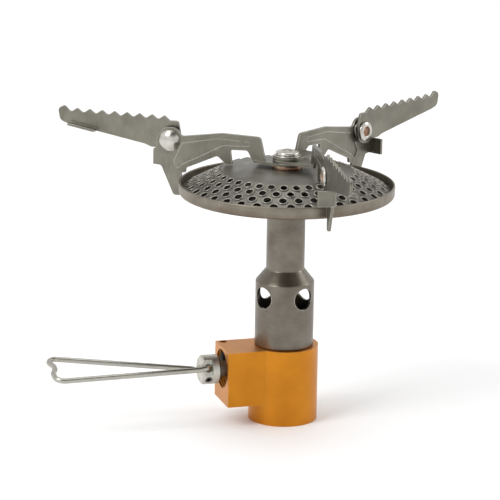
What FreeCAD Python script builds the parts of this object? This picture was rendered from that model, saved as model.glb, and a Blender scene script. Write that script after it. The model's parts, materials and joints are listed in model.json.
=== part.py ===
import FreeCAD, Part
import math
import os

# Canister stove.  Millimetres, +Z up.  Origin: centre of the canister socket's mouth, on the
# underside of the valve body.  The valve spindle and its wire handle point along -X.

# ---- driving dimensions ----
BODY_R = 9.0                 # round part of the valve body
BODY_H = 20.1                # height of the valve body's top face
BLOCK_END_X = -16.8          # end face of the square valve block
BLOCK_HALF_W = 6.2
BLOCK_Z0 = 5.5
SPIGOT_R = 6.9               # spigot that locates the burner tube
SPIGOT_TOP = 24.9

SOCKET_R = 5.12              # minor radius of the 7/16-28 canister thread
THREAD_DEPTH = 5.2           # end of the full thread, about 5.7 turns
RUNOUT_R = 5.75              # groove past the thread, clear of its major radius of 5.56
SOCKET_DEPTH = 7.5
SEAL_R = 3.6                 # seal chamber above the thread
SEAL_TOP = 9.9
INLET_X = -2.5               # gas inlet drilling, beside the inlet pin
INLET_R = 0.6
FILTER_R = 1.0
PIN_SEAT_R = 1.0             # seat of the pin that opens the canister's valve
PIN_TOP = 11.8
GAS_WAY_R = 1.0              # drilling from the needle seat up to the jet
JET_SEAT_R = 1.9
JET_SEAT_Z = 19.0

VALVE_Z = 14.4               # spindle axis
CBORE_R = 5.1                # gland counterbore
CBORE_FLOOR_X = -10.2
GROOVE_COUNT = 4             # gland thread grooves that show in the counterbore's mouth
GROOVE_PITCH = 0.62
GROOVE_HALF = 0.2
GROOVE_DEPTH = 0.22
CHAMBER_R = 3.06
SEAT_X = -1.6                # needle seat
SEAT_R = 0.6
SPINDLE_R = 2.0
SPINDLE_TIP_R = 0.12
PLUG_R = 1.2                 # spindle between its seal collar and its needle
COLLAR_X = -8.0              # start of the seal collar
PLUG_X = -5.2
NEEDLE_X = -3.4
SEAL_X = -6.7                # spindle seal
SEAL_HALF = 0.5
GLAND_X = -13.98             # outer face of the gland nut
SPANNER_R = 3.5              # centres of the gland's two spanner holes
FIT = 0.06                   # running clearance on a radius

RETAINER_X = -15.0           # cross pin that keeps the gland in
RETAINER_Y = 4.9
RETAINER_R = 0.95
RETAINER_Z0 = 8.0
RETAINER_TOP = 18.9
PRESSED = 0.02               # clearance round a pressed pin

HUB_R = 3.85
HUB_X0 = -22.7
HUB_X1 = -17.8
PIVOT_X = -21.2              # wire pivot and roll pin plane
PIVOT_TILT = 22.0            # wire pivot above the -Y direction, degrees
ROLL_PIN_TILT = -30.0
ROLL_PIN_R = 0.95
HUB_EDGE = 0.5
HUB_BORE_R = 1.8
HUB_BORE_X = -22.0           # floor of the hub's bore
HUB_FLAT = 3.2               # floor of the hub's two flats, from its axis
HUB_FLAT_LENGTH = 2.6
SLIT = 0.2                   # slit along the roll pin

WIRE_R = 0.725
HANDLE_L = 40.7              # pivot to the middle of the far bar
HANDLE_TILT = 3.7            # handle above -X, degrees
WIRE_END_V = 2.45            # inner end of each bent-in leg, from the hub axis
LEG_V = 4.05                 # leg centre beside the hub
BAR_V = 5.6                  # far corners, along the pivot
BAR_W = 3.5                  # far corners, across the pivot
NOTCH = ((0.42, 0.0), (0.16, 1.15), (-0.12, 1.15), (-0.38, 0.0))   # share of the bar, depth

TUBE_R = 7.65                # mixing tube, lower part
TUBE_WALL = 0.7
TUBE_NECK_R = 5.0
TUBE_NECK_WALL = 0.6
CONE_Z0 = 37.2
CONE_Z1 = 40.5
TUBE_TOP = 60.9
AIR_HOLE_R = 2.85
AIR_HOLE_Z = 33.5
AIR_HOLE_TURN = -66.0        # first air hole, degrees about Z

PAN_R = 27.9
PAN_WALL = 0.55
PAN_Z0 = 60.0
RIM_TOP = 63.2

DOME_Z = 67.1                # top of the burner plate at its centre
DOME_EDGE_R = 16.8           # where the dome turns into the sloping band
DOME_EDGE_Z = 66.6
BAND_SLOPE = 27.0
SHEET = 0.5
DOME_FLAT_R = 10.0           # where the dome starts to fall away
DOME_FALL = 0.1
PORTS_PER_ROW = 36
PORT_ROWS = ((18.2, 0.95), (20.45, 1.0), (22.7, 1.05), (24.85, 1.1))   # ring radius, hole radius

BOLT_R = 1.95
EYE_HOLE_R = 2.0
EYE_R = 3.8
PLATE = 0.7                  # thickness of every pot support plate
TAB_Z0 = 68.0                # underside of the lowest of the three stacked tabs
TAB_STEP = 0.74
BOLT_FOOT = 62.6
BOLT_HEAD_R = 3.1
BOLT_HEAD_Z0 = TAB_Z0 + 2.6
BOLT_HEAD_H = 1.55
RECESS_L = 3.4
RECESS_W = 0.75
RECESS_TURN = 20
NUT_FLATS = 7.0
NUT_H = 3.0

RIVET = (31.6, 71.9)         # rivet centre in an arm's plane: out from the axis, height
RIVET_R = 1.45
ROUND_END_R = 3.5
STOP_R = 36.1                # outer face of the stop tab
STOP_TOP = 69.4
STOP_BOTTOM = 65.3
STOP_WIDTH = 4.6
PANEL_RISE = 0.25            # pressed panel of the inner arm
FLANGE_L = 7.6               # bent lip under the outer arm
FLANGE_W = 2.1
FLANGE_U = 21.0              # its inner end, out from the rivet
BACK_U = 7.4                 # straight lower edge of the outer arm: start and end
BACK_V = -1.75
BACK_END_U = 29.0
BACK_END_V = 1.9
HEAD_R = 2.8                 # rivet's domed head
HEAD_SPHERE_R = 3.7
WASHER_R = 2.9
WASHER_GAP = 0.7             # between inner and outer plates

TOOTH_PITCH = 3.47
TOOTH_COUNT = 8
FIRST_TOOTH = 2.1
TIP_V = 6.2
VALLEY_V = 4.95
ARM_LENGTH = 31.7            # rivet to the hooked tip

# name, direction about Z (degrees), plate offset from the axis, tab level, tab's extra corners
SUPPORTS = (
    ("left", 144.9, 1.4, 0, ((8.7, -4.4),)),
    ("front", -97.5, 5.5, 1, ((-2.4, 5.15),)),
    ("right", 31.9, 1.9, 2, ((8.7, -3.0),)),
)


def vec(x, y, z):
    return FreeCAD.Vector(x, y, z)


X_AXIS = vec(1, 0, 0)
Y_AXIS = vec(0, 1, 0)
Z_AXIS = vec(0, 0, 1)


def rod(radius, start, end):
    """Cylinder between two points."""
    run = end - start
    return Part.makeCylinder(radius, run.Length, start, run)


def x_rod(radius, x0, x1):
    """Cylinder on the valve axis."""
    return rod(radius, vec(x0, 0, VALVE_Z), vec(x1, 0, VALVE_Z))


def z_rod(radius, z0, z1, x=0.0, y=0.0):
    return rod(radius, vec(x, y, z0), vec(x, y, z1))


def ring(outer, inner, z0, z1):
    return z_rod(outer, z0, z1).cut(z_rod(inner, z0 - 1, z1 + 1))


def hex_prism(across_flats, z0, z1):
    radius = across_flats / 2 / math.cos(math.pi / 6)
    corners = []
    for k in range(7):
        a = math.radians(60 * k)
        corners.append(vec(radius * math.cos(a), radius * math.sin(a), z0))
    return Part.Face(Part.makePolygon(corners)).extrude(vec(0, 0, z1 - z0))


def rounded_edges(corners, closed=True):
    """Lines and tangent arcs through points given as (vector, corner radius)."""
    n = len(corners)
    stops = []
    for i in range(n):
        here, radius = corners[i]
        if radius == 0 or (not closed and i in (0, n - 1)):
            stops.append((here, here, None))
            continue
        before = (corners[i - 1][0] - here).normalize()
        after = (corners[(i + 1) % n][0] - here).normalize()
        half = before.getAngle(after) / 2
        reach = radius / math.tan(half)
        middle = (before + after).normalize()
        centre = here + middle * (radius / math.sin(half))
        stops.append((here + before * reach, here + after * reach, centre - middle * radius))
    edges = []
    for i in range(n):
        start, end, through = stops[i]
        if through is not None:
            edges.append(Part.Arc(start, through, end).toShape())
        if i == n - 1 and not closed:
            break
        following = stops[(i + 1) % n][0]
        if (following - end).Length > 1e-6:
            edges.append(Part.LineSegment(end, following).toShape())
    return edges


def flat_face(points, y):
    """Face in the plane y from corners given as (x, z, radius)."""
    corners = [(vec(x, y, z), radius) for x, z, radius in points]
    return Part.Face(Part.Wire(rounded_edges(corners)))


def plate_xz(points, y0, thickness):
    return flat_face(points, y0).extrude(vec(0, thickness, 0))


def revolved(points, axis_point=vec(0, 0, 0), axis=Z_AXIS):
    """Solid of revolution from corners given as (x, z, radius) in the XZ plane."""
    return flat_face(points, 0.0).revolve(axis_point, axis, 360)


def tilt_dir(degrees_up):
    """Direction square to the valve axis, this far above -Y."""
    a = math.radians(degrees_up)
    return vec(0, -math.cos(a), math.sin(a))


# ---- valve ----
def make_valve_body():
    solid = z_rod(BODY_R, 0, BODY_H)
    block = Part.makeBox(-BLOCK_END_X, 2 * BLOCK_HALF_W, BODY_H - BLOCK_Z0,
                         vec(BLOCK_END_X, -BLOCK_HALF_W, BLOCK_Z0))
    solid = solid.fuse(block).fuse(z_rod(SPIGOT_R, BODY_H - 1, SPIGOT_TOP)).removeSplitter()
    # canister socket, its runout groove, seal chamber,
    # inlet drilling and its filter seat, seat for the inlet pin
    cuts = [z_rod(SOCKET_R, -1, SOCKET_DEPTH), z_rod(SEAL_R, SOCKET_DEPTH - 1, SEAL_TOP)]
    cuts.append(z_rod(RUNOUT_R, THREAD_DEPTH, SOCKET_DEPTH))
    cuts.append(z_rod(INLET_R, SEAL_TOP - 1, 12.5, INLET_X))
    cuts.append(z_rod(FILTER_R, SEAL_TOP - 1, SEAL_TOP + 0.7, INLET_X))
    cuts.append(z_rod(PIN_SEAT_R, SEAL_TOP - 1, PIN_TOP + 0.1))
    # gland counterbore with its thread grooves, spindle chamber, needle seat
    cuts.append(x_rod(CBORE_R, BLOCK_END_X - 1, CBORE_FLOOR_X))
    for k in range(GROOVE_COUNT):
        middle = BLOCK_END_X + 0.6 + GROOVE_PITCH * k
        inside = CBORE_R - 0.3
        shoulder = CBORE_R + 0.05
        groove = [(middle - GROOVE_HALF, inside, 0), (middle + GROOVE_HALF, inside, 0),
                  (middle + GROOVE_HALF, shoulder, 0), (middle, CBORE_R + GROOVE_DEPTH, 0),
                  (middle - GROOVE_HALF, shoulder, 0)]
        turned = revolved(groove, vec(0, 0, 0), X_AXIS)
        cuts.append(turned.translated(vec(0, 0, VALVE_Z)))
    cuts.append(x_rod(CHAMBER_R, CBORE_FLOOR_X - 1, SEAT_X))
    cuts.append(x_rod(SEAT_R, SEAT_X - 1, 1.0))
    # gas drilling and threaded seat of the jet
    cuts.append(z_rod(GAS_WAY_R, VALVE_Z, BODY_H))
    cuts.append(z_rod(JET_SEAT_R, JET_SEAT_Z, SPIGOT_TOP + 1))
    cuts.append(z_rod(RETAINER_R + PRESSED, RETAINER_Z0, BODY_H + 1, RETAINER_X, RETAINER_Y))
    for tool in cuts:
        solid = solid.cut(tool)
    return solid


def make_canister_o_ring():
    return Part.makeTorus(2.75, 0.8, vec(0, 0, 8.5), Z_AXIS)


def make_inlet_pin():
    radius = PIN_SEAT_R - PRESSED
    stem = z_rod(radius, 6.2, PIN_TOP)
    return stem.fuse(Part.makeCone(0.6, radius, 0.8, vec(0, 0, 5.4)))


def make_inlet_filter():
    return z_rod(FILTER_R - 0.03, SEAL_TOP - 0.1, SEAL_TOP + 0.65, INLET_X)


def make_needle_spindle():
    solid = x_rod(HUB_BORE_R - PRESSED, HUB_BORE_X + 0.1, HUB_X1)
    solid = solid.fuse(x_rod(SPINDLE_R, HUB_X1, COLLAR_X))
    solid = solid.fuse(x_rod(CHAMBER_R - FIT, COLLAR_X, PLUG_X))
    solid = solid.fuse(x_rod(PLUG_R, PLUG_X, NEEDLE_X))
    needle = Part.makeCone(PLUG_R, SPINDLE_TIP_R, 2.2, vec(NEEDLE_X, 0, VALVE_Z), X_AXIS)
    solid = solid.fuse(needle)
    groove = x_rod(4.0, SEAL_X - SEAL_HALF, SEAL_X + SEAL_HALF)
    groove = groove.cut(x_rod(2.25, SEAL_X - 1, SEAL_X + 1))
    return solid.cut(groove).cut(roll_pin_hole()).removeSplitter()


def make_spindle_o_ring():
    return Part.makeTorus(2.65, 0.38, vec(SEAL_X, 0, VALVE_Z), X_AXIS)


def make_gland_nut():
    solid = x_rod(CBORE_R - 0.08, GLAND_X, CBORE_FLOOR_X)
    solid = solid.cut(x_rod(SPINDLE_R + FIT, BLOCK_END_X, CBORE_FLOOR_X + 1))
    for side in (-1, 1):
        height = VALVE_Z + SPANNER_R * side
        solid = solid.cut(rod(0.55, vec(GLAND_X - 1, 0, height), vec(GLAND_X + 1.38, 0, height)))
    return solid


def make_retaining_pin():
    return z_rod(RETAINER_R, RETAINER_Z0 + 0.05, RETAINER_TOP, RETAINER_X, RETAINER_Y)


def hub_cross(radius, inner, outer, degrees_up):
    """Rod through the hub's pivot plane, from one distance from its axis to another."""
    along = tilt_dir(degrees_up)
    centre = vec(PIVOT_X, 0, VALVE_Z)
    return rod(radius, centre + along * inner, centre + along * outer)


def roll_pin_hole():
    return hub_cross(ROLL_PIN_R + PRESSED, -6, 6, ROLL_PIN_TILT)


def make_control_hub():
    profile = [(HUB_X0, 0, 0), (HUB_X1, 0, 0), (HUB_X1, HUB_R - HUB_EDGE, 0),
               (HUB_X1 - HUB_EDGE, HUB_R, 0), (HUB_X0 + HUB_EDGE, HUB_R, 0),
               (HUB_X0, HUB_R - HUB_EDGE, 0)]
    solid = revolved(profile, vec(0, 0, 0), X_AXIS).translated(vec(0, 0, VALVE_Z))
    solid = solid.cut(x_rod(HUB_BORE_R, HUB_BORE_X, HUB_X1 + 1)).cut(roll_pin_hole())
    along = tilt_dir(PIVOT_TILT)
    across = vec(0, math.sin(math.radians(PIVOT_TILT)), math.cos(math.radians(PIVOT_TILT)))
    for side in (-1, 1):
        solid = solid.cut(hub_cross(WIRE_R + FIT, side * (WIRE_END_V - 0.08), side * 6, PIVOT_TILT))
        sink = Part.makeCone(WIRE_R + FIT, WIRE_R + FIT + 0.8, 0.8,
                             vec(PIVOT_X, 0, VALVE_Z) + along * (side * 2.85), along * side)
        solid = solid.cut(sink)
        # the flat that the leg swings over
        corner = vec(HUB_X0 - 1, 0, VALVE_Z) + along * (side * HUB_FLAT) - across * 5
        inner = corner + vec(HUB_FLAT_LENGTH + 1, 0, 0)
        loop = [corner, inner, inner + across * 10, corner + across * 10, corner]
        solid = solid.cut(Part.Face(Part.makePolygon(loop)).extrude(along * (side * 3)))
    return solid


def make_hub_roll_pin():
    solid = hub_cross(ROLL_PIN_R, -3.8, 3.8, ROLL_PIN_TILT)
    solid = solid.cut(hub_cross(0.5, -6, 6, ROLL_PIN_TILT))
    along = tilt_dir(ROLL_PIN_TILT)
    slit = Part.makeBox(SLIT, 2.0, 12.0)
    slit.Placement = FreeCAD.Placement(vec(PIVOT_X - SLIT / 2, 0, VALVE_Z) - along * 6,
                                       FreeCAD.Rotation(Z_AXIS, along))
    return solid.cut(slit)


def handle_point(along_pivot, across, out):
    """Point of the wire handle in the axes of its pivot."""
    tilt = math.radians(HANDLE_TILT)
    side = vec(0, math.sin(math.radians(PIVOT_TILT)), math.cos(math.radians(PIVOT_TILT)))
    outward = X_AXIS * (-math.cos(tilt)) + side * math.sin(tilt)
    crosswise = side * math.cos(tilt) + X_AXIS * math.sin(tilt)
    centre = vec(PIVOT_X, 0, VALVE_Z)
    return centre + tilt_dir(PIVOT_TILT) * along_pivot + crosswise * across + outward * out


def make_wire_handle():
    bend = 1.1
    half = [(WIRE_END_V, 0, 0, 0), (LEG_V, 0, 0, bend), (LEG_V + 0.1, -0.55, 2.6, 2.0),
            (BAR_V, -BAR_W, HANDLE_L, 2.4)]
    points = [(handle_point(v, w, s), r) for v, w, s, r in half]
    for share, depth in NOTCH:
        points.append((handle_point(BAR_V * share, -BAR_W * share, HANDLE_L - depth), 1.6))
    for v, w, s, r in reversed(half):
        points.append((handle_point(-v, -w, s), r))
    path = Part.Wire(rounded_edges(points, closed=False))
    start = points[0][0]
    section = Part.Wire(Part.Circle(start, tilt_dir(PIVOT_TILT), WIRE_R).toShape())
    return path.makePipeShell([section], True, False)


# ---- burner ----
def make_gas_jet():
    hex_top = SPIGOT_TOP + 3.5
    solid = z_rod(JET_SEAT_R - 0.05, JET_SEAT_Z + 0.2, SPIGOT_TOP + 0.2)
    solid = solid.fuse(hex_prism(5.4, SPIGOT_TOP + 0.1, hex_top))
    solid = solid.fuse(Part.makeCone(2.1, 0.9, 2.2, vec(0, 0, hex_top), Z_AXIS))
    solid = solid.cut(z_rod(GAS_WAY_R, JET_SEAT_Z, hex_top + 1))
    return solid.cut(z_rod(0.2, hex_top, hex_top + 3))


def make_burner_tube():
    neck_in = TUBE_NECK_R - TUBE_NECK_WALL
    low_in = TUBE_R - TUBE_WALL
    profile = [(low_in, BODY_H, 0), (TUBE_R - 0.25, BODY_H, 0), (TUBE_R, BODY_H + 0.25, 0),
               (TUBE_R, CONE_Z0, 0.8), (TUBE_NECK_R, CONE_Z1, 0.8), (TUBE_NECK_R, TUBE_TOP, 0),
               (neck_in, TUBE_TOP, 0), (neck_in, CONE_Z1, 0.8), (low_in, CONE_Z0, 0.8)]
    solid = revolved(profile)
    for k in range(4):
        a = math.radians(AIR_HOLE_TURN + 90 * k)
        out = vec(math.cos(a), math.sin(a), 0) * (TUBE_R + 1)
        centre = vec(0, 0, AIR_HOLE_Z)
        solid = solid.cut(rod(AIR_HOLE_R, centre, centre + out))
    return solid


def make_burner_pan():
    hole = TUBE_NECK_R + 0.02
    inside = PAN_R - PAN_WALL
    profile = [(hole, PAN_Z0, 0), (PAN_R, PAN_Z0, 0.9), (PAN_R, RIM_TOP, 0.35), (inside, RIM_TOP, 0.35),
               (inside, PAN_Z0 + PAN_WALL, 0.3), (hole, PAN_Z0 + PAN_WALL, 0)]
    return revolved(profile)


def band_height(radius):
    return DOME_EDGE_Z - (radius - DOME_EDGE_R) * math.tan(math.radians(BAND_SLOPE))


def make_burner_plate():
    edge = PAN_R - PAN_WALL - 0.05
    hole = BOLT_R + 0.1
    shoulder = DOME_Z - DOME_FALL
    profile = [(hole, DOME_Z, 0), (DOME_FLAT_R, shoulder, 30), (DOME_EDGE_R, DOME_EDGE_Z, 3.0),
               (edge, band_height(edge), 0), (edge, band_height(edge) - SHEET, 0),
               (DOME_EDGE_R, DOME_EDGE_Z - SHEET, 2.5), (DOME_FLAT_R, shoulder - SHEET, 29.5),
               (hole, DOME_Z - SHEET, 0)]
    solid = revolved(profile)
    slope = math.radians(BAND_SLOPE)
    punches = []
    for row, (radius, hole_r) in enumerate(PORT_ROWS):
        for k in range(PORTS_PER_ROW):
            a = 2 * math.pi * (k + 0.5 * (row % 2)) / PORTS_PER_ROW
            foot = vec(radius * math.cos(a), radius * math.sin(a), band_height(radius))
            up = vec(math.sin(slope) * math.cos(a), math.sin(slope) * math.sin(a), math.cos(slope))
            punches.append(rod(hole_r, foot - up * 1.2, foot + up * 1.2))
    return solid.cut(Part.makeCompound(punches))


def make_centre_bolt():
    head_z = BOLT_HEAD_Z0
    head = [(0, head_z, 0), (BOLT_HEAD_R, head_z, 0), (BOLT_HEAD_R, head_z + 0.8, 0.5),
            (0, head_z + BOLT_HEAD_H, 0)]
    solid = revolved(head).fuse(z_rod(BOLT_R, BOLT_FOOT, head_z + 0.2))
    for a in (0, 90):
        slot = Part.makeBox(RECESS_L, RECESS_W, 1.2, vec(-RECESS_L / 2, -RECESS_W / 2, head_z + 0.75))
        slot.rotate(vec(0, 0, 0), Z_AXIS, a + RECESS_TURN)
        solid = solid.cut(slot)
    return solid


def make_bolt_nut():
    top = DOME_Z - SHEET - 0.05
    return hex_prism(NUT_FLATS, top - NUT_H, top).cut(z_rod(BOLT_R + 0.03, BOLT_FOOT, DOME_Z))


def make_lower_washer():
    return ring(3.9, BOLT_R + FIT, DOME_Z + 0.02, TAB_Z0 - 0.04)


def make_top_washer():
    return ring(3.5, BOLT_R + FIT, TAB_Z0 + 2.22, TAB_Z0 + 2.56)


# ---- pot supports, each made in its own plane: x out from the stove's axis, y across it ----
def hull_outline(points):
    """Convex outline round a set of flat points, counter-clockwise."""
    points = sorted(set(points))

    def half(run):
        kept = []
        for p in run:
            while len(kept) > 1 and ((kept[-1][0] - kept[-2][0]) * (p[1] - kept[-2][1])
                                     - (kept[-1][1] - kept[-2][1]) * (p[0] - kept[-2][0])) <= 0:
                kept.pop()
            kept.append(p)
        return kept[:-1]

    return half(points) + half(points[::-1])


def make_tab(offset, z0, extra):
    """Flat tab under the bolt head, from the eye to the plate's bent foot."""
    round_eye = []
    for k in range(48):
        a = 2 * math.pi * k / 48
        round_eye.append((EYE_R * math.cos(a), EYE_R * math.sin(a)))
    near = offset + PLATE / 2
    outline = hull_outline(round_eye + [(5.2, near), (8.6, near)] + [tuple(p) for p in extra])
    corners = [vec(x, y, z0) for x, y in outline]
    flat = Part.Face(Part.makePolygon(corners + corners[:1])).extrude(vec(0, 0, PLATE))
    return flat.cut(z_rod(EYE_HOLE_R, z0 - 1, z0 + 2))


def inner_outline(foot_z):
    return [(5.2, foot_z, 0), (6.8, 74.8, 1.2), (17.4, 75.0, 2.0), (28.4, 73.3, 0.8), (29.3, 75.4, 2.4),
            (33.2, 75.5, 2.6), (35.1, 72.4, 2.2), (35.2, STOP_TOP + 0.6, 0.3), (STOP_R, STOP_TOP, 0.3),
            (STOP_R, STOP_BOTTOM, 0.2), (33.9, 65.2, 0.8), (30.4, 57.6, 0.8), (28.3, 57.5, 0.6),
            (28.3, RIM_TOP + 0.4, 0.2), (27.2, RIM_TOP + 0.6, 0.1), (27.0, 65.0, 0.7), (18.4, 68.9, 0.9),
            (16.2, 66.95, 0.3), (14.4, 66.95, 0.3), (14.9, 70.8, 0.5), (10.3, 71.0, 0.8), (8.6, foot_z, 0)]


def panel_outline():
    return [(9.6, 73.3, 0.3), (18.0, 73.6, 1.0), (28.0, 71.6, 0.6), (30.4, 66.6, 1.0), (29.3, 64.4, 0.6),
            (27.9, 66.0, 0.8), (23.4, 68.3, 0.5), (17.0, 71.8, 1.0), (9.6, 72.2, 0.3)]


def make_inner_arm(offset, level, extra):
    foot_z = TAB_Z0 + TAB_STEP * level
    low = offset - PLATE / 2
    rx, rz = RIVET
    solid = plate_xz(inner_outline(foot_z), low, PLATE)
    solid = solid.fuse(make_tab(offset, foot_z, extra))
    stop = Part.makeBox(PLATE, STOP_WIDTH, STOP_TOP - STOP_BOTTOM,
                        vec(STOP_R - PLATE, offset + PLATE / 2 - STOP_WIDTH, STOP_BOTTOM))
    solid = solid.fuse(stop).removeSplitter()
    # pressed panel: stands out on one side and is sunk on the other
    solid = solid.fuse(plate_xz(panel_outline(), offset + PLATE / 2 - 0.05, PANEL_RISE + 0.05))
    solid = solid.cut(plate_xz(panel_outline(), low - 0.1, PANEL_RISE + 0.1))
    return solid.cut(rod(RIVET_R + 0.02, vec(rx, low - 1, rz), vec(rx, low + 2, rz)))


def outer_outline():
    points = [(-2.7, 0.6, 0), (-1.9, 5.0, 0.9), (0.6, 4.95, 0)]
    for k in range(TOOTH_COUNT):
        tip = FIRST_TOOTH + TOOTH_PITCH * k
        points.append((tip, TIP_V, 0.3))
        points.append((tip + TOOTH_PITCH / 2, VALLEY_V, 0.95))
    last = FIRST_TOOTH + TOOTH_PITCH * TOOTH_COUNT
    rest_v = STOP_TOP + 0.08 - RIVET[1]
    points += [(last + 0.1, TIP_V + 0.5, 0.7), (ARM_LENGTH, TIP_V - 0.4, 1.2),
               (ARM_LENGTH - 0.6, 2.6, 1.6), (BACK_END_U, BACK_END_V, 1.0), (BACK_U, BACK_V, 1.2),
               (5.6, rest_v, 0.6), (3.2, rest_v, 0.4), (1.6, -3.4, 1.2), (-2.6, -2.9, 2.4)]
    return points


def outer_low(offset):
    """Near face of the outer plate, measured across the arm."""
    return offset - PLATE / 2 - WASHER_GAP - PLATE


def make_outer_arm(offset):
    rx, rz = RIVET
    points = [(rx + u, rz + v, r) for u, v, r in outer_outline()]
    low = outer_low(offset)
    solid = plate_xz(points, low, PLATE)
    slope = math.atan2(BACK_END_V - BACK_V, BACK_END_U - BACK_U)
    lip_v = BACK_V + (FLANGE_U - BACK_U) * math.tan(slope)
    flange = Part.makeBox(FLANGE_L, FLANGE_W, PLATE, vec(0, 0, 0))
    flange.rotate(vec(0, 0, 0), Y_AXIS, -math.degrees(slope))
    flange.translate(vec(rx + FLANGE_U, low + 0.3, rz + lip_v - 0.1))
    solid = solid.fuse(flange).removeSplitter()
    return solid.cut(rod(RIVET_R + FIT, vec(rx, low - 1, rz), vec(rx, low + 2, rz)))


def make_rivet(offset):
    rx, rz = RIVET
    head_y = offset + PLATE / 2
    low = outer_low(offset)
    shank = rod(RIVET_R, vec(rx, low - 0.1, rz), vec(rx, head_y + 0.1, rz))
    dome = Part.makeSphere(HEAD_SPHERE_R, vec(rx, head_y - 2.3, rz))
    dome = dome.common(Part.makeBox(10, 5, 10, vec(rx - 5, head_y, rz - 5)))
    dome = dome.fuse(rod(HEAD_R, vec(rx, head_y, rz), vec(rx, head_y + 0.25, rz)))
    ring_profile = [(0.75, 0, 0), (2.55, 0, 0.3), (2.55, 0.65, 0.3), (1.5, 0.75, 0.3), (0.75, 0.2, 0)]
    rolled = revolved([(x, -z, r) for x, z, r in ring_profile])
    rolled.rotate(vec(0, 0, 0), X_AXIS, -90)
    rolled.translate(vec(rx, low - 0.08, rz))
    rolled = rolled.fuse(rod(1.0, vec(rx, low - 0.25, rz), vec(rx, low, rz)))
    return shank.fuse(dome).fuse(rolled).removeSplitter()


def make_spring_washer(offset):
    rx, rz = RIVET
    top = offset - PLATE / 2 - 0.06
    bottom = top - WASHER_GAP + 0.12
    outside = rod(WASHER_R, vec(rx, bottom, rz), vec(rx, top, rz))
    return outside.cut(rod(RIVET_R + FIT, vec(rx, bottom - 1, rz), vec(rx, top + 1, rz)))


def save(name, shape):
    """Writes one sub-part, and stops if it isn't sound."""
    if not shape.isValid():
        raise ValueError(name + " is not a valid shape")
    shape.exportStep("parts/" + name + ".step")
    print(name, "solids", len(shape.Solids), "volume", round(shape.Volume, 2))


def main():
    os.makedirs("parts", exist_ok=True)
    save("valve_body", make_valve_body())
    save("canister_o_ring", make_canister_o_ring())
    save("inlet_pin", make_inlet_pin())
    save("inlet_filter", make_inlet_filter())
    save("needle_spindle", make_needle_spindle())
    save("spindle_o_ring", make_spindle_o_ring())
    save("gland_nut", make_gland_nut())
    save("gland_retaining_pin", make_retaining_pin())
    save("control_hub", make_control_hub())
    save("hub_roll_pin", make_hub_roll_pin())
    save("wire_handle", make_wire_handle())
    save("gas_jet", make_gas_jet())
    save("burner_tube", make_burner_tube())
    save("burner_pan", make_burner_pan())
    save("burner_plate", make_burner_plate())
    save("centre_bolt", make_centre_bolt())
    save("bolt_nut", make_bolt_nut())
    save("lower_washer", make_lower_washer())
    save("top_washer", make_top_washer())
    for name, turn, offset, level, extra in SUPPORTS:
        pieces = (("_inner_arm", make_inner_arm(offset, level, extra)),
                  ("_outer_arm", make_outer_arm(offset)),
                  ("_rivet", make_rivet(offset)),
                  ("_spring_washer", make_spring_washer(offset)))
        for suffix, shape in pieces:
            shape.rotate(vec(0, 0, 0), Z_AXIS, turn)
            save(name + suffix, shape)


main()
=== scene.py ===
import json
import math

import bmesh
import bpy
from mathutils import Matrix, Vector


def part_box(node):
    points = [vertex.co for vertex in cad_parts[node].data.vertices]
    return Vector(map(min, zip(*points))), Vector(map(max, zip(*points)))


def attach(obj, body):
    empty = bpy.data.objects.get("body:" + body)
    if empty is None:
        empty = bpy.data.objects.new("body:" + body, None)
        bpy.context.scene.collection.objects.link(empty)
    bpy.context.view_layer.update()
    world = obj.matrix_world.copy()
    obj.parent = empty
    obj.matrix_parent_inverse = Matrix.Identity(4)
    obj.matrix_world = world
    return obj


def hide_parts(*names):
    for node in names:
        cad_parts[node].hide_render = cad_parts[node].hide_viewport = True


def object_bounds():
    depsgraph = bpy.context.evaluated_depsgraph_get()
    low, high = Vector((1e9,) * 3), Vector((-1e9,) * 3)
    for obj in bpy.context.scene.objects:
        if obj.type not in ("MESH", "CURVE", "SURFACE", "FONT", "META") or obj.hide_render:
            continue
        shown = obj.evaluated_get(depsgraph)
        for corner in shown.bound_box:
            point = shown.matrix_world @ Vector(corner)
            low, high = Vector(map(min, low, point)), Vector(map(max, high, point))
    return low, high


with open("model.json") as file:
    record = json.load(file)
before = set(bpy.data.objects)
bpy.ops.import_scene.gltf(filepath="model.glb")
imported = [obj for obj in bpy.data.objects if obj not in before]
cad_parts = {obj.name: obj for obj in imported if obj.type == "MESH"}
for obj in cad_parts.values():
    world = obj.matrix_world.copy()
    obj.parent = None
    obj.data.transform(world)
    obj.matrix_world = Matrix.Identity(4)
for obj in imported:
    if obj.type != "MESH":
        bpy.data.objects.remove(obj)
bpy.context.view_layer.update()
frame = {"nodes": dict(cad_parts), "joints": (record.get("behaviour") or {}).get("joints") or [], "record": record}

MM = 0.001
SIDES = ("left", "front", "right")

BODIES = frame["record"]["behaviour"]["bodies"]
BODY_OF = {node: body for body, nodes in BODIES.items() for node in nodes}
JOINTS = {joint["name"]: joint for joint in frame["joints"]}


# ---- shader and geometry nodes ----
class Value:
    """A number socket that takes part in Python sums."""

    def __init__(self, book, socket):
        self.book = book
        self.socket = socket

    def join(self, operation, first, second):
        return self.book.number("ShaderNodeMath", {"operation": operation}, {0: first, 1: second})

    def __add__(self, other):
        return self.join("ADD", self, other)

    def __radd__(self, other):
        return self.join("ADD", other, self)

    def __sub__(self, other):
        return self.join("SUBTRACT", self, other)

    def __rsub__(self, other):
        return self.join("SUBTRACT", other, self)

    def __mul__(self, other):
        return self.join("MULTIPLY", self, other)

    def __rmul__(self, other):
        return self.join("MULTIPLY", other, self)

    def __truediv__(self, other):
        return self.join("DIVIDE", self, other)

    def __pow__(self, other):
        return self.join("POWER", self, other)

    def step(self, low, high):
        """0 below low, 1 above high, and smooth between them."""
        return self.book.number("ShaderNodeMapRange", {"interpolation_type": "SMOOTHSTEP"},
                                {"Value": self, "From Min": low, "From Max": high})


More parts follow.
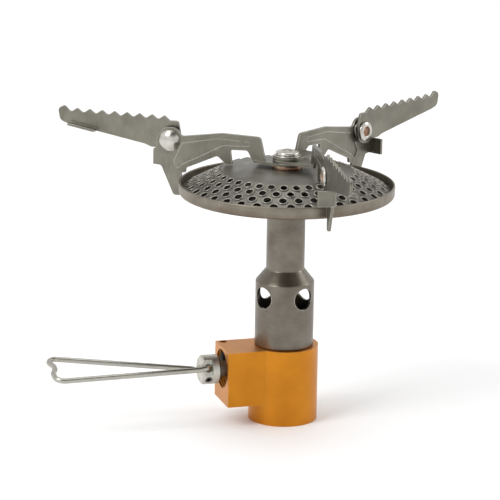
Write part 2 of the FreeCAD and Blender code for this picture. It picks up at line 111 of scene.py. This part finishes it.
class Book:
    """A node tree, and the one method that makes its nodes."""

    def __init__(self, tree):
        self.tree = tree

    def node(self, kind, settings=None, inputs=None):
        made = self.tree.nodes.new(kind)
        for key, value in (settings or {}).items():
            setattr(made, key, value)
        for key, value in (inputs or {}).items():
            self.feed(made.inputs[key], value)
        return made

    def feed(self, socket, value):
        if isinstance(value, Value):
            value = value.socket
        if isinstance(value, bpy.types.NodeSocket):
            self.tree.links.new(value, socket)
        else:
            socket.default_value = value

    def number(self, kind, settings, inputs):
        return Value(self, self.node(kind, settings, inputs).outputs[0])


class Finish(Book):
    """A material: one Principled shader and the patterns that feed it."""

    def __init__(self, name, **fixed):
        self.material = bpy.data.materials.new(name)
        self.material.use_nodes = True
        super().__init__(self.material.node_tree)
        self.tree.nodes.clear()
        self.shader = self.node("ShaderNodeBsdfPrincipled")
        self.node("ShaderNodeOutputMaterial", {}, {"Surface": self.shader.outputs[0]})
        for key, value in fixed.items():
            self.set(key.replace("_", " ").title().replace("Ior", "IOR"), value)
        self.spot = self.node("ShaderNodeTexCoord").outputs["Object"]

    def set(self, socket, value):
        self.feed(self.shader.inputs[socket], value)

    def mix(self, factor, first, second):
        made = self.node("ShaderNodeMix", {"data_type": "RGBA"},
                         {0: factor, 6: (*first, 1) if isinstance(first, tuple) else first,
                          7: (*second, 1) if isinstance(second, tuple) else second})
        return made.outputs[2]

    def noise(self, size, detail=3.0, stretch=(1, 1, 1), at=None):
        """Noise from 0 to 1 with features about this many metres across."""
        place = self.node("ShaderNodeMapping", {}, {"Vector": at or self.spot, "Scale": stretch})
        return self.number("ShaderNodeTexNoise", {},
                           {"Vector": place.outputs[0], "Scale": 1 / size, "Detail": detail})

    def round_z(self):
        """(distance from the upright axis, height, a little of the angle) for lathe marks."""
        split = self.node("ShaderNodeSeparateXYZ", {}, {0: self.spot}).outputs
        x, y, z = (Value(self, socket) for socket in split)
        reach = (x * x + y * y) ** 0.5
        angle = self.join_angle(y, x)
        return self.node("ShaderNodeCombineXYZ", {}, {0: reach, 1: z, 2: angle * (0.6 * MM)}).outputs[0]

    def round_x(self, height):
        """The same about the valve's axis, which lies along X at this height."""
        split = self.node("ShaderNodeSeparateXYZ", {}, {0: self.spot}).outputs
        x, y, z = (Value(self, socket) for socket in split)
        z = z - height
        reach = (y * y + z * z) ** 0.5
        angle = self.join_angle(y, z)
        return self.node("ShaderNodeCombineXYZ", {}, {0: reach, 1: x, 2: angle * (0.6 * MM)}).outputs[0]

    def join_angle(self, first, second):
        return self.number("ShaderNodeMath", {"operation": "ARCTAN2"}, {0: first, 1: second})

    def edges(self, reach):
        """1 along edges, 0 on flat faces."""
        rounded = self.node("ShaderNodeBevel", {"samples": 4}, {"Radius": reach}).outputs[0]
        true = self.node("ShaderNodeNewGeometry").outputs["Normal"]
        turn = self.node("ShaderNodeVectorMath", {"operation": "DOT_PRODUCT"}, {0: rounded, 1: true})
        return (1 - Value(self, turn.outputs["Value"])).step(0.01, 0.2)

    def bump(self, height, depth, strength=1.0):
        made = self.node("ShaderNodeBump", {},
                         {"Strength": strength, "Distance": depth, "Height": height})
        self.set("Normal", made.outputs[0])


VALVE_Z = JOINTS["valve_turn"]["pos_m"][2]


def titanium(name, light, dark, rough, lathe=False, tint=None):
    """Bare titanium sheet or tube: fine matt grain, cloudy warm tone, brighter worn edges."""
    made = Finish(name, metallic=1.0)
    cloud = made.noise(7 * MM, 4.0)
    grain = made.noise(0.16 * MM, 2.0)
    if lathe:
        marks = made.noise(0.22 * MM, 3.0, at=made.round_z())
    else:
        marks = made.noise(0.5 * MM, 3.0, stretch=(1, 1, 0.25))
    worn = made.edges(0.3 * MM) * made.noise(2.2 * MM).step(0.15, 0.5)
    rub = made.noise(3.5 * MM, 6.0).step(0.56, 0.72)
    tone = made.mix(cloud.step(0.3, 0.7), dark, light)
    tone = made.mix(marks.step(0.35, 0.75) * 0.22, tone, tuple(c * 1.35 for c in light))
    if tint:
        # Dark brown mixed in where tint() asks; on the pan this is painted shade low inside it, plus random brown
        # patches.
        tone = made.mix(tint(made), tone, (0.115, 0.075, 0.05))
    tone = made.mix(worn * 0.9, tone, (0.56, 0.545, 0.49))
    made.set("Base Color", tone)
    made.set("Roughness", rough + grain * 0.1 + marks * 0.08 - rub * 0.06 - worn * 0.1)
    made.bump(grain * 0.6 + marks, 0.006 * MM, 0.5)
    return made


def steel(name, tone, dark, rough, scratch=0.25, spin=None):
    """Turned or drawn stainless steel, fairly bright, with fine tool marks."""
    made = Finish(name, metallic=1.0)
    at = spin(made) if spin else None
    marks = made.noise(0.12 * MM, 3.0, at=at)
    smears = made.noise(1.8 * MM, 5.0)
    worn = made.edges(0.15 * MM)
    colour = made.mix(smears.step(0.35, 0.7), tone, dark)
    made.set("Base Color", made.mix(worn * 0.5, colour, (0.68, 0.67, 0.63)))
    made.set("Roughness", rough + smears * 0.08 + marks * scratch * 0.3)
    made.bump(marks, 0.004 * MM, 0.35)
    return made


def anodised():
    """Satin orange anodising with a clear sheen, a fine blasted grain and rubbed edges."""
    made = Finish("orange_anodising", metallic=1.0, coat_weight=0.3, coat_roughness=0.3)
    cloud = made.noise(9 * MM, 4.0)
    speck = made.noise(0.5 * MM, 3.0)
    grain = made.noise(0.14 * MM, 2.0)
    worn = made.edges(0.2 * MM) * made.noise(1.5 * MM).step(0.35, 0.6)
    tone = made.mix(cloud.step(0.3, 0.7), (0.50, 0.18, 0.006), (0.585, 0.222, 0.009))
    tone = made.mix(speck.step(0.66, 0.8) * 0.22, tone, (0.78, 0.36, 0.05))
    tone = made.mix(speck.step(0.3, 0.18) * 0.35, tone, (0.42, 0.15, 0.012))
    made.set("Base Color", made.mix(worn * 0.55, tone, (0.88, 0.52, 0.2)))
    made.set("Roughness", 0.36 + grain * 0.12 + cloud * 0.05 - worn * 0.08)
    made.bump(grain + speck * 0.7, 0.006 * MM, 0.5)
    return made


def browned_metal(name, first, second, rough):
    """Brown metal, uneven round the part: the lower washer's colour, and painted shade inside the rivets' hollow
    ends.
    """
    made = Finish(name, metallic=1.0)
    bands = made.noise(1.1 * MM, 3.0)
    soot = made.noise(0.4 * MM, 4.0)
    made.set("Base Color", made.mix(bands.step(0.35, 0.65), first, second))
    made.set("Roughness", rough + soot * 0.2)
    made.bump(soot, 0.004 * MM, 0.4)
    return made


def brass():
    made = Finish("machined_brass", metallic=1.0)
    marks = made.noise(0.15 * MM, 3.0, at=made.round_z())
    stain = made.noise(1.2 * MM, 4.0)
    made.set("Base Color", made.mix(stain.step(0.4, 0.7), (0.72, 0.5, 0.18), (0.42, 0.27, 0.1)))
    made.set("Roughness", 0.26 + marks * 0.12 + stain * 0.1)
    made.bump(marks, 0.004 * MM, 0.4)
    return made


def rubber():
    made = Finish("nitrile_rubber")
    grain = made.noise(0.2 * MM, 4.0)
    bloom = made.noise(1.5 * MM, 3.0)
    made.set("Base Color", made.mix(bloom.step(0.4, 0.7), (0.012, 0.012, 0.012), (0.03, 0.03, 0.028)))
    made.set("Roughness", 0.5 + grain * 0.25)
    made.bump(grain, 0.01 * MM, 0.5)
    return made


def pan_shade_and_patches(made):
    """Painted shade: darker brown low inside the pan and round the foot of its wall, with random brown patches all
    over.
    """
    height = Value(made, made.node("ShaderNodeSeparateXYZ", {}, {0: made.spot}).outputs[2])
    # Painted shade: darker the lower it lies inside the pan.
    low = (height + made.noise(2.5 * MM) * (1.2 * MM)).step(63.0 * MM, 60.5 * MM)
    return low * 0.5 + made.noise(4 * MM, 4.0).step(0.5, 0.75) * 0.2


def around_valve(made):
    return made.round_x(VALVE_Z)


ORANGE = anodised()
ARM_SHEET = titanium("titanium_arm_sheet", (0.215, 0.206, 0.172), (0.15, 0.143, 0.117), 0.3)
PLATE_SHEET = titanium("titanium_burner_plate", (0.205, 0.196, 0.17), (0.145, 0.138, 0.118), 0.34,
                       lathe=True)
TUBE_WALL = titanium("titanium_mixing_tube", (0.185, 0.165, 0.137), (0.125, 0.108, 0.087), 0.26,
                     lathe=True)
# The port lips get a lighter titanium than the plate: a painted highlight on the raised rims.
LIP_SHEET_PAINTED_BRIGHT = titanium("port_lips_painted_highlight", (0.315, 0.304, 0.268), (0.21, 0.2, 0.174), 0.27)
PAN_SHEET = titanium("titanium_pan", (0.24, 0.217, 0.178), (0.165, 0.144, 0.112), 0.31,
                     lathe=True, tint=pan_shade_and_patches)
BRIGHT = steel("bright_steel", (0.54, 0.525, 0.48), (0.47, 0.455, 0.41), 0.17, 0.12)
WIRE = steel("drawn_wire", (0.43, 0.42, 0.375), (0.385, 0.375, 0.335), 0.15, 0.12)
TURNED = steel("turned_steel", (0.56, 0.545, 0.49), (0.44, 0.425, 0.375), 0.24, 0.5, around_valve)
DARK_STEEL = steel("dark_spring_steel", (0.13, 0.128, 0.12), (0.07, 0.068, 0.062), 0.34, 0.4)
BROWNED = browned_metal("browned_washer", (0.20, 0.085, 0.05), (0.36, 0.25, 0.18), 0.28)
BRASS = brass()
RUBBER = rubber()


# ---- shapes ----
def rounded(corners, closed=True, steps=5):
    """Points along straight runs joined by arcs, from corners given as (point, radius)."""
    out = []
    for i, (here, radius) in enumerate(corners):
        if radius == 0 or (not closed and i in (0, len(corners) - 1)):
            out.append(here.copy())
            continue
        before = (corners[i - 1][0] - here).normalized()
        after = (corners[(i + 1) % len(corners)][0] - here).normalized()
        half = before.angle(after) / 2
        centre = here + (before + after).normalized() * (radius / math.sin(half))
        start = here + before * (radius / math.tan(half)) - centre
        end = here + after * (radius / math.tan(half)) - centre
        sweep = start.angle(end)
        for k in range(steps + 1):
            share = k / steps
            arm = start * math.sin((1 - share) * sweep) + end * math.sin(share * sweep)
            out.append(centre + arm / math.sin(sweep))
    return out


def profile(corners, closed=True, steps=5):
    """Rounded outline from (distance from the axis, height, corner radius), in millimetres."""
    marks = [(Vector((r, h, 0)) * MM, radius * MM) for r, h, radius in corners]
    return [(p.x, p.y) for p in rounded(marks, closed, steps)]


def skin(bm, rings, closed):
    """Joins rings of vertices, where a ring of one vertex is a point on the axis."""
    pairs = list(zip(rings, rings[1:]))
    if closed:
        pairs.append((rings[-1], rings[0]))
    for low, high in pairs:
        count = max(len(low), len(high))
        for k in range(count):
            corners = [low[k % len(low)], low[(k + 1) % len(low)],
                       high[(k + 1) % len(high)], high[k % len(high)]]
            unique = list(dict.fromkeys(corners))
            if len(unique) > 2:
                bm.faces.new(unique)


def lathe(outline, origin=(0, 0, 0), axis=(0, 0, 1), segments=96, closed=True, wave=None):
    """Turned solid about a line. wave(angle) lifts its points along the line."""
    turn = Vector((0, 0, 1)).rotation_difference(Vector(axis)).to_matrix()
    bm = bmesh.new()
    rings = []
    for reach, height in outline:
        ring = []
        for k in range(segments if reach > 1e-9 else 1):
            a = 2 * math.pi * k / segments
            lift = height + (wave(a) if wave else 0)
            ring.append(bm.verts.new(turn @ Vector((reach * math.cos(a), reach * math.sin(a), lift))
                                     + Vector(origin)))
        rings.append(ring)
    skin(bm, rings, closed)
    bmesh.ops.recalc_face_normals(bm, faces=bm.faces)
    return bm


def swept(path, radius, sides=24):
    """Round wire along a path, closed with flat ends."""
    bm = bmesh.new()
    rings = []
    side = (path[1] - path[0]).orthogonal().normalized()
    last = len(path) - 1
    for i, point in enumerate(path):
        along = (path[min(i + 1, last)] - path[max(i - 1, 0)]).normalized()
        side = (side - along * side.dot(along)).normalized()
        other = along.cross(side)
        ring = []
        for k in range(sides):
            a = 2 * math.pi * k / sides
            ring.append(bm.verts.new(point + (side * math.cos(a) + other * math.sin(a)) * radius))
        rings.append(ring)
    skin(bm, [[bm.verts.new(path[0])]] + rings + [[bm.verts.new(path[-1])]], False)
    bmesh.ops.recalc_face_normals(bm, faces=bm.faces)
    return bm


def cad_copy(node):
    """A welded copy of a CAD node's mesh, its flat faces made whole."""
    weld = 0.002 * MM
    flat = math.radians(0.4)
    bm = bmesh.new()
    bm.from_mesh(frame["nodes"][node].data)
    bmesh.ops.remove_doubles(bm, verts=bm.verts, dist=weld)
    bmesh.ops.dissolve_limit(bm, angle_limit=flat, verts=bm.verts, edges=bm.edges)
    return bm


def baked(obj):
    """Turns an object's modifiers into plain mesh."""
    graph = bpy.context.evaluated_depsgraph_get()
    mesh = bpy.data.meshes.new_from_object(obj.evaluated_get(graph), preserve_all_data_layers=True,
                                           depsgraph=graph)
    obj.modifiers.clear()
    obj.data = mesh
    return obj


def new_object(name, bm, finish):
    mesh = bpy.data.meshes.new(name)
    bm.to_mesh(mesh)
    bm.free()
    mesh.materials.append(finish.material)
    obj = bpy.data.objects.new(name, mesh)
    bpy.context.scene.collection.objects.link(obj)
    return obj


def place(obj, *nodes):
    """The piece stands for these nodes and rides with the first one's body; the nodes are hidden."""
    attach(obj, BODY_OF[nodes[0]])
    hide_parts(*nodes)
    return obj


def smooth(obj, sharp=32):
    obj.data.polygons.foreach_set("use_smooth", [True] * len(obj.data.polygons))
    obj.data.set_sharp_from_angle(angle=math.radians(sharp))


def eased(name, node, finish, width, segments=2, limit=28):
    """A CAD node again with its edges eased, as tumbling or polishing leaves them."""
    obj = new_object(name, cad_copy(node), finish)
    bevel = obj.modifiers.new("edges", "BEVEL")
    bevel.width = width * MM
    bevel.segments = segments
    bevel.limit_method = "ANGLE"
    bevel.angle_limit = math.radians(limit)
    baked(obj)
    smooth(obj, 60)
    weigh = obj.modifiers.new("flats", "WEIGHTED_NORMAL")
    weigh.keep_sharp = True
    baked(obj)
    return place(obj, node)


def turned(name, node, bm, finish):
    obj = new_object(name, bm, finish)
    smooth(obj)
    return place(obj, node)


def span(node, origin, axis):
    """How far a CAD node reaches along a line, from the line's origin."""
    reach = [(v.co - origin).dot(axis) for v in frame["nodes"][node].data.vertices]
    return min(reach), max(reach)


# ---- valve ----
def make_handle():
    """Bent wire: two legs that end in the hub, and a far bar with a shallow notch."""
    joint = JOINTS["handle_fold"]
    pivot = Vector(joint["pos_m"])
    along = Vector(joint["axis"]).normalized()
    lean = math.radians(3.7)
    square = along.cross(Vector((1, 0, 0))).normalized()
    if square.z < 0:
        square = -square
    out = Vector((-math.cos(lean), 0, 0)) + square * math.sin(lean)
    cross = square * math.cos(lean) + Vector((math.sin(lean), 0, 0))

    def spot(v, w, s):
        return pivot + (along * v + cross * w + out * s) * MM

    bar_v, bar_w, length = 5.6, 3.5, 40.7
    wire_radius = 0.72
    notch_bend = 1.6
    leg = [(2.45, 0, 0, 0), (4.05, 0, 0, 1.1), (4.15, -0.55, 2.6, 2.0), (bar_v, -bar_w, length, 2.4)]
    corners = [(spot(v, w, s), r * MM) for v, w, s, r in leg]
    for share, depth in ((0.3, 0.0), (-0.02, 0.9), (-0.3, 0.9), (-0.56, 0.12)):
        corners.append((spot(bar_v * share, -bar_w * share, length - depth), notch_bend * MM))
    corners += [(spot(-v, -w, s), r * MM) for v, w, s, r in reversed(leg)]
    bm = swept(rounded(corners, closed=False, steps=9), wire_radius * MM, 28)
    turned("bent_wire_handle", "wire_handle", bm, WIRE)


def make_valve():
    eased("machined_valve_body", "valve_body", ORANGE, 0.16)
    eased("turned_hub", "control_hub", TURNED, 0.1)
    eased("slit_roll_pin", "hub_roll_pin", DARK_STEEL, 0.08)
    eased("slotted_gland_nut", "gland_nut", DARK_STEEL, 0.15)
    eased("retaining_pin", "gland_retaining_pin", DARK_STEEL, 0.12)
    make_handle()


# ---- burner ----
def make_pan():
    low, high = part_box("burner_pan")
    rim = high.x / MM
    foot = low.z / MM
    top = high.z / MM
    hole = 5.02
    wall = 0.55
    outline = [(hole, foot, 0.1), (rim, foot, 1.0), (rim, top, 0.26), (rim - wall, top, 0.26),
               (rim - wall, foot + wall, 0.45), (hole, foot + wall, 0.1)]
    turned("spun_pan", "burner_pan", lathe(profile(outline), segments=192), PAN_SHEET)


def lip_tree(finish):
    """Raised lips round one ring of burner ports."""
    tree = bpy.data.node_groups.new("port_lips", "GeometryNodeTree")
    face = tree.interface
    face.new_socket("Geometry", in_out="INPUT", socket_type="NodeSocketGeometry")
    face.new_socket("Ports", in_out="INPUT", socket_type="NodeSocketInt")
    for name in ("Ring radius", "Height", "Slope", "Turn", "Port radius", "Lip"):
        face.new_socket(name, in_out="INPUT", socket_type="NodeSocketFloat")
    face.new_socket("Geometry", in_out="OUTPUT", socket_type="NodeSocketGeometry")
    book = Book(tree)
    given = book.node("NodeGroupInput").outputs
    size = {name: Value(book, given[name]) for name in ("Ring radius", "Height", "Slope", "Turn", "Lip")}
    ring = book.node("GeometryNodeMeshCircle", {},
                     {"Vertices": given["Ports"], "Radius": given["Ring radius"]})
    lift = book.node("ShaderNodeCombineXYZ", {}, {2: size["Height"]})
    spin = book.node("ShaderNodeCombineXYZ", {}, {2: size["Turn"]})
    moved = book.node("GeometryNodeTransform", {},
                      {"Geometry": ring.outputs[0], "Translation": lift.outputs[0],
                       "Rotation": spin.outputs[0]})
    lean = book.number("ShaderNodeMath", {"operation": "SINE"}, {0: size["Slope"]})
    rise = book.number("ShaderNodeMath", {"operation": "COSINE"}, {0: size["Slope"]})
    share = lean / size["Ring radius"]
    spot = book.node("GeometryNodeInputPosition")
    flat = book.node("ShaderNodeCombineXYZ", {}, {0: share, 1: share})
    outward = book.node("ShaderNodeVectorMath", {"operation": "MULTIPLY"},
                        {0: spot.outputs[0], 1: flat.outputs[0]})
    upward = book.node("ShaderNodeCombineXYZ", {}, {2: rise})
    normal = book.node("ShaderNodeVectorMath", {"operation": "ADD"},
                       {0: outward.outputs[0], 1: upward.outputs[0]})
    aim = book.node("FunctionNodeAlignRotationToVector", {"axis": "Z"}, {"Vector": normal.outputs[0]})
    mouth = book.node("GeometryNodeCurvePrimitiveCircle", {},
                      {"Resolution": 20, "Radius": given["Port radius"]})
    bead = book.node("GeometryNodeCurvePrimitiveCircle", {}, {"Resolution": 6, "Radius": size["Lip"]})
    lip = book.node("GeometryNodeCurveToMesh", {},
                    {"Curve": mouth.outputs[0], "Profile Curve": bead.outputs[0]})
    copies = book.node("GeometryNodeInstanceOnPoints", {},
                       {"Points": moved.outputs[0], "Instance": lip.outputs[0],
                        "Rotation": aim.outputs[0]})
    real = book.node("GeometryNodeRealizeInstances", {}, {0: copies.outputs[0]})
    soft = book.node("GeometryNodeSetShadeSmooth", {}, {0: real.outputs[0]})
    painted = book.node("GeometryNodeSetMaterial", {},
                        {"Geometry": soft.outputs[0], "Material": finish.material})
    book.node("NodeGroupOutput", {}, {0: painted.outputs[0]})
    return tree


def make_plate():
    """The perforated plate, and the pressed lips round its four rings of ports."""
    eased("punched_plate", "burner_plate", PLATE_SHEET, 0.06, 1, 50)
    tree = lip_tree(LIP_SHEET_PAINTED_BRIGHT)
    keys = {item.name: item.identifier for item in tree.interface.items_tree if item.in_out == "INPUT"}
    slope = math.radians(27)
    shoulder, shoulder_z = 16.8, 66.6
    ports = 36
    bead, proud, spare = 0.2, 0.05, 0.06
    rings = ((18.2, 0.95), (20.45, 1.0), (22.7, 1.05), (24.85, 1.1))
    joined = bmesh.new()
    for row, (reach, port) in enumerate(rings):
        obj = new_object("lip_row", bmesh.new(), LIP_SHEET_PAINTED_BRIGHT)
        lips = obj.modifiers.new("lips", "NODES")
        lips.node_group = tree
        height = shoulder_z - (reach - shoulder) * math.tan(slope) + proud
        sizes = {"Ports": ports, "Ring radius": reach * MM, "Slope": slope, "Lip": bead * MM,
                 "Height": height * MM, "Turn": math.pi / ports * (row % 2),
                 "Port radius": (port + spare) * MM}
        for key, value in sizes.items():
            lips[keys[key]] = value
        baked(obj)
        joined.from_mesh(obj.data)
        bpy.data.objects.remove(obj)
    obj = new_object("raised_port_lips", joined, LIP_SHEET_PAINTED_BRIGHT)
    smooth(obj, 80)
    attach(obj, "stove")


def make_burner():
    eased("spun_mixing_tube", "burner_tube", TUBE_WALL, 0.1, 2, 40)
    make_pan()
    make_plate()
    eased("cross_recess_bolt", "centre_bolt", BRIGHT, 0.09)
    eased("browned_lower_washer", "lower_washer", BROWNED, 0.1)
    eased("bright_top_washer", "top_washer", BRIGHT, 0.08)


# ---- pot supports ----
def make_rivet(side):
    """Domed head at one end, rolled hollow end at the other."""
    joint = JOINTS[side + "_fold"]
    origin = Vector(joint["pos_m"])
    axis = -Vector(joint["axis"]).normalized()
    low, high = (end / MM for end in span(side + "_rivet", origin, axis))
    head, rolled, shaft, hollow = 2.8, 2.55, 1.45, 1.3
    crown = high - 1.4
    collar = low + 0.75
    rim = crown + 0.25
    ball = (head ** 2 + (high - rim) ** 2) / (2 * (high - rim))
    dome = []
    steps = 14
    for k in range(steps + 1):
        lean = math.asin(head / ball) * k / steps
        dome.append((ball * math.sin(lean) * MM, (high - ball * (1 - math.cos(lean))) * MM))
    shank = [(head, crown, 0), (shaft, crown, 0), (shaft, collar, 0), (rolled, collar, 0.12),
             (rolled, low + 0.32, 0.3), (1.95, low, 0.3), (1.35, low + 0.08, 0.25), (1.0, low + 0.6, 0.1),
             (0, low + 0.68, 0)]
    bm = lathe(dome + profile(shank, closed=False), origin, axis, 96, closed=False)
    obj = turned("domed_" + side + "_rivet", side + "_rivet", bm, BRIGHT)
    # The faces inside the hollow end take the darker brown: painted shade in the hollow.
    obj.data.materials.append(BROWNED.material)
    for face in obj.data.polygons:
        offset = face.center - origin
        depth = offset.dot(axis)
        if depth < collar * MM and (offset - axis * depth).length < hollow * MM:
            face.material_index = 1


def make_wave_washer(side):
    """Spring washer with three waves."""
    joint = JOINTS[side + "_fold"]
    origin = Vector(joint["pos_m"])
    axis = -Vector(joint["axis"]).normalized()
    low, high = (end / MM for end in span(side + "_spring_washer", origin, axis))
    thick, bore, outside = 0.26, 1.52, 2.9
    middle = (low + high) / 2
    swing = (high - low - thick) / 2
    outline = [(bore, middle - thick / 2, 0.06), (outside, middle - thick / 2, 0.1),
               (outside, middle + thick / 2, 0.1), (bore, middle + thick / 2, 0.06)]
    bm = lathe(profile(outline, steps=3), origin, axis, 96, wave=lambda a: swing * MM * math.cos(3 * a))
    turned("waved_" + side + "_washer", side + "_spring_washer", bm, BRIGHT)


def make_supports():
    for side in SIDES:
        eased("pressed_" + side + "_inner_arm", side + "_inner_arm", ARM_SHEET, 0.1)
        eased("toothed_" + side + "_outer_arm", side + "_outer_arm", ARM_SHEET, 0.1)
        make_rivet(side)
        make_wave_washer(side)


def finish_hidden_nodes():
    """Pieces that keep their CAD shape, mostly inside the valve."""
    finishes = {"canister_o_ring": RUBBER, "spindle_o_ring": RUBBER, "inlet_pin": BRIGHT,
                "inlet_filter": BRASS, "needle_spindle": TURNED, "gas_jet": BRASS, "bolt_nut": BRIGHT}
    for node, finish in finishes.items():
        obj = frame["nodes"][node]
        obj.data.materials.clear()
        obj.data.materials.append(finish.material)


# ---- stage ----
def make_camera():
    turn, rise, roll = math.radians(-17), math.radians(14.565), math.radians(-0.971)
    back = Vector((math.sin(turn) * math.cos(rise), -math.cos(turn) * math.cos(rise), math.sin(rise)))
    right = Vector((math.cos(turn), math.sin(turn), 0))
    up = back.cross(right)
    across = right * math.cos(roll) - up * math.sin(roll)
    upright = right * math.sin(roll) + up * math.cos(roll)
    target = right * -0.009216 + Vector((0, 0, 0.045026))
    distance = 0.75
    data = bpy.data.cameras.new("camera")
    data.sensor_width = 36
    data.lens = 208.4
    camera = bpy.data.objects.new("camera", data)
    bpy.context.scene.collection.objects.link(camera)
    matrix = Matrix((across, upright, back)).transposed().to_4x4()
    matrix.translation = target + back * distance
    camera.matrix_world = matrix
    bpy.context.scene.camera = camera


def make_floor():
    bm = bmesh.new()
    half = 6.0
    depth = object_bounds()[0].z - 0.02 * MM
    signs = ((-1, -1), (1, -1), (1, 1), (-1, 1))
    corners = [bm.verts.new((x * half, y * half, depth)) for x, y in signs]
    bm.faces.new(corners)
    finish = Finish("pale_floor", roughness=0.6)
    finish.set("Base Color", finish.mix(finish.noise(0.3, 2.0), (0.94, 0.94, 0.94), (0.97, 0.97, 0.97)))
    floor = new_object("floor", bm, finish)


def area_light(name, place_at, aim, width, height, power, colour=(1, 1, 1)):
    data = bpy.data.lights.new(name, "AREA")
    data.shape = "RECTANGLE"
    data.size = width
    data.size_y = height
    data.energy = power
    data.color = colour
    light = bpy.data.objects.new(name, data)
    light.location = place_at
    light.rotation_euler = (Vector(aim) - Vector(place_at)).to_track_quat("-Z", "Y").to_euler()
    bpy.context.scene.collection.objects.link(light)


def make_light():
    middle = (0, 0, 0.045)
    area_light("left_softbox", (-0.9, -0.35, 0.95), middle, 0.5, 0.6, 7.5)
    area_light("right_softbox", (1.0, -0.1, 0.5), middle, 0.3, 0.5, 2)
    area_light("top_softbox", (0.0, 0.1, 1.6), middle, 1.6, 1.6, 9)
    world = bpy.data.worlds.new("room")
    bpy.context.scene.world = world
    world.use_nodes = True
    book = Book(world.node_tree)
    world.node_tree.nodes.clear()
    ray = book.node("ShaderNodeTexCoord").outputs["Generated"]
    x, _, z = (Value(book, s) for s in book.node("ShaderNodeSeparateXYZ", {}, {0: ray}).outputs)
    toward = book.node("ShaderNodeVectorMath", {"operation": "DOT_PRODUCT"},
                       {0: ray, 1: Vector((-0.155, -0.507, 0.848))})
    shade = Value(book, toward.outputs["Value"]).step(0.75, 0.97)
    strength = (0.95 - z.step(0.3, 1.0) * 0.3 + x.step(0.1, -0.9) * 0.15) * (1 - shade * 0.85)
    light = book.node("ShaderNodeBackground", {}, {"Color": (1, 1, 1, 1), "Strength": strength})
    book.node("ShaderNodeOutputWorld", {}, {"Surface": light.outputs[0]})
    bpy.context.scene.view_settings.view_transform = "Standard"


make_camera()
make_valve()
make_burner()
make_supports()
finish_hidden_nodes()
make_floor()
make_light()
